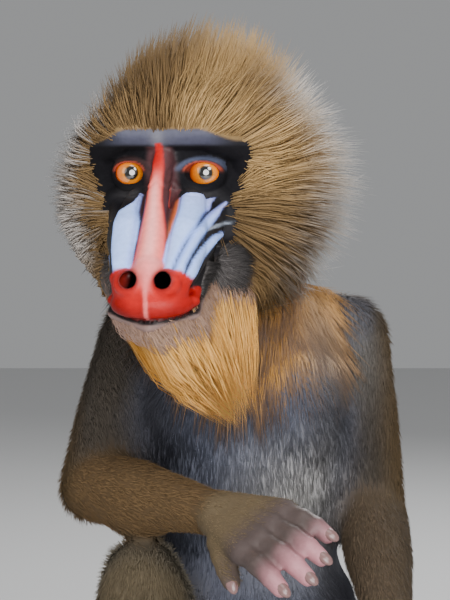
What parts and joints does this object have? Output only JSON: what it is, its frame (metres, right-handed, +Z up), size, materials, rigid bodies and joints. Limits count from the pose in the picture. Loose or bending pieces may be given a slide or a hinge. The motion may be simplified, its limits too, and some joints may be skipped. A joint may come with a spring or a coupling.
{
  "type": "mandrill",
  "caption": "Life-size adult male mandrill, seated, one forearm across its raised knee, with crest, ruff, beard and ridged face.",
  "frame": {"origin": "middle of the model's base, at the height of the floor it sits on", "axes": "+Z up, the body faces -Y, +X is the animal's left"},
  "size_m": [0.3494, 0.6584, 0.7326],
  "materials": {
    "olive_coat": "matte hair",
    "grey_coat": "matte hair",
    "face_skin": "satin bare skin",
    "beard_coat": "matte hair",
    "hand_skin": "satin bare skin",
    "eye": "wet gloss",
    "ear_skin": "satin bare skin"
  },
  "bodies": {
    "root": {"head": "face_skin", "lower_jaw": "beard_coat", "neck": "olive_coat", "chest": "grey_coat", "belly": "grey_coat", "pelvis": "olive_coat", "tail": "olive_coat", "ear_right": "ear_skin", "eye_right": "eye", "upper_arm_right": "olive_coat", "forearm_right": "olive_coat", "hand_right": "hand_skin", "thigh_right": "grey_coat", "shin_right": "grey_coat", "foot_right": "hand_skin", "ear_left": "ear_skin", "eye_left": "eye", "upper_arm_left": "olive_coat", "forearm_left": "olive_coat", "hand_left": "hand_skin", "thigh_left": "grey_coat", "shin_left": "grey_coat", "foot_left": "hand_skin"}
  },
  "joints": []
}
